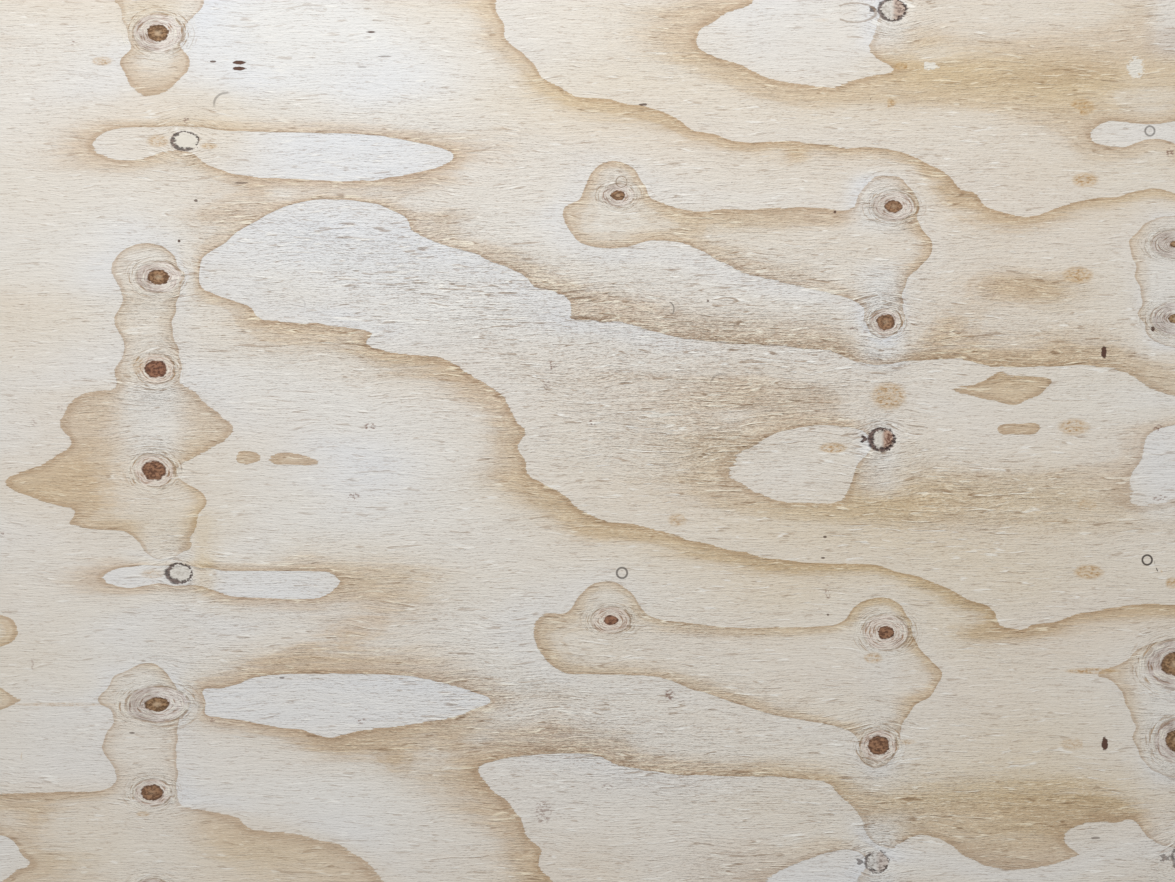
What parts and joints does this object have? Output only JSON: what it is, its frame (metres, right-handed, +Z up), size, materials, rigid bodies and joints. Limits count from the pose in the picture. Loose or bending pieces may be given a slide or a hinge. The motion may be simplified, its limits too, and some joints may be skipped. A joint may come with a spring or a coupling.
{
  "type": "plywood sheet",
  "caption": "Full-size flat sheet of knotty softwood plywood with a rotary-peeled face and square sawn edges.",
  "frame": {"origin": "middle of the underside, where the sheet rests on the floor", "axes": "+X along the sheet's length and its face grain, +Y across its width, +Z up through its thickness to the face side"},
  "size_m": [2.44, 1.22, 0.018],
  "materials": {
    "pine_plywood": "bare, lightly sanded rotary-peeled pine veneer"
  },
  "bodies": {
    "root": {"plywood_sheet": "pine_plywood"}
  },
  "joints": []
}
